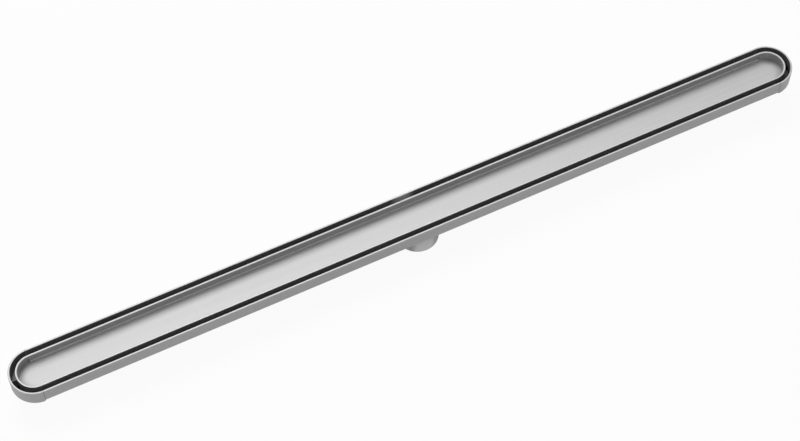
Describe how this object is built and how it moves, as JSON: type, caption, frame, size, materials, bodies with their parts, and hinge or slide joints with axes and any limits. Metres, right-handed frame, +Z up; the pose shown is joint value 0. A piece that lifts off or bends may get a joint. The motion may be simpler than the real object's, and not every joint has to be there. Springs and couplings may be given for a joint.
{
  "type": "linear shower drain",
  "caption": "Slim linear shower drain: round-ended channel with a lift-out tile tray resting inside, water slots all round it and a round outlet spigot under the middle.",
  "frame": {"origin": "centre of the outlet spigot's lower end, on the surface the drain stands on", "axes": "+X along the channel, +Y across it, +Z up out of the tile tray"},
  "size_m": [1.1, 0.065, 0.055],
  "materials": {
    "channel_metal": "satin anodised extrusion",
    "channel_end_metal": "satin blasted casting",
    "tray_metal": "satin anodised extrusion",
    "tray_end_metal": "satin blasted casting",
    "outlet_metal": "satin casting with a turned pipe",
    "seal_rubber": "matte",
    "screw_steel": "turned stainless steel",
    "foot_plastic": "moulded, fine grain"
  },
  "bodies": {
    "root": {"channel_trough": "channel_metal", "channel_end_left": "channel_end_metal", "channel_end_right": "channel_end_metal", "channel_seal_left": "seal_rubber", "channel_seal_right": "seal_rubber", "outlet_pipe": "outlet_metal", "outlet_flange": "outlet_metal", "outlet_seal": "seal_rubber", "outlet_screws": "screw_steel", "tray_trough": "tray_metal", "tray_end_left": "tray_end_metal", "tray_end_right": "tray_end_metal", "tray_foot_left": "foot_plastic", "tray_foot_right": "foot_plastic", "tray_saddle_1": "foot_plastic", "tray_saddle_2": "foot_plastic", "tray_saddle_3": "foot_plastic", "tray_saddle_4": "foot_plastic"}
  },
  "joints": []
}
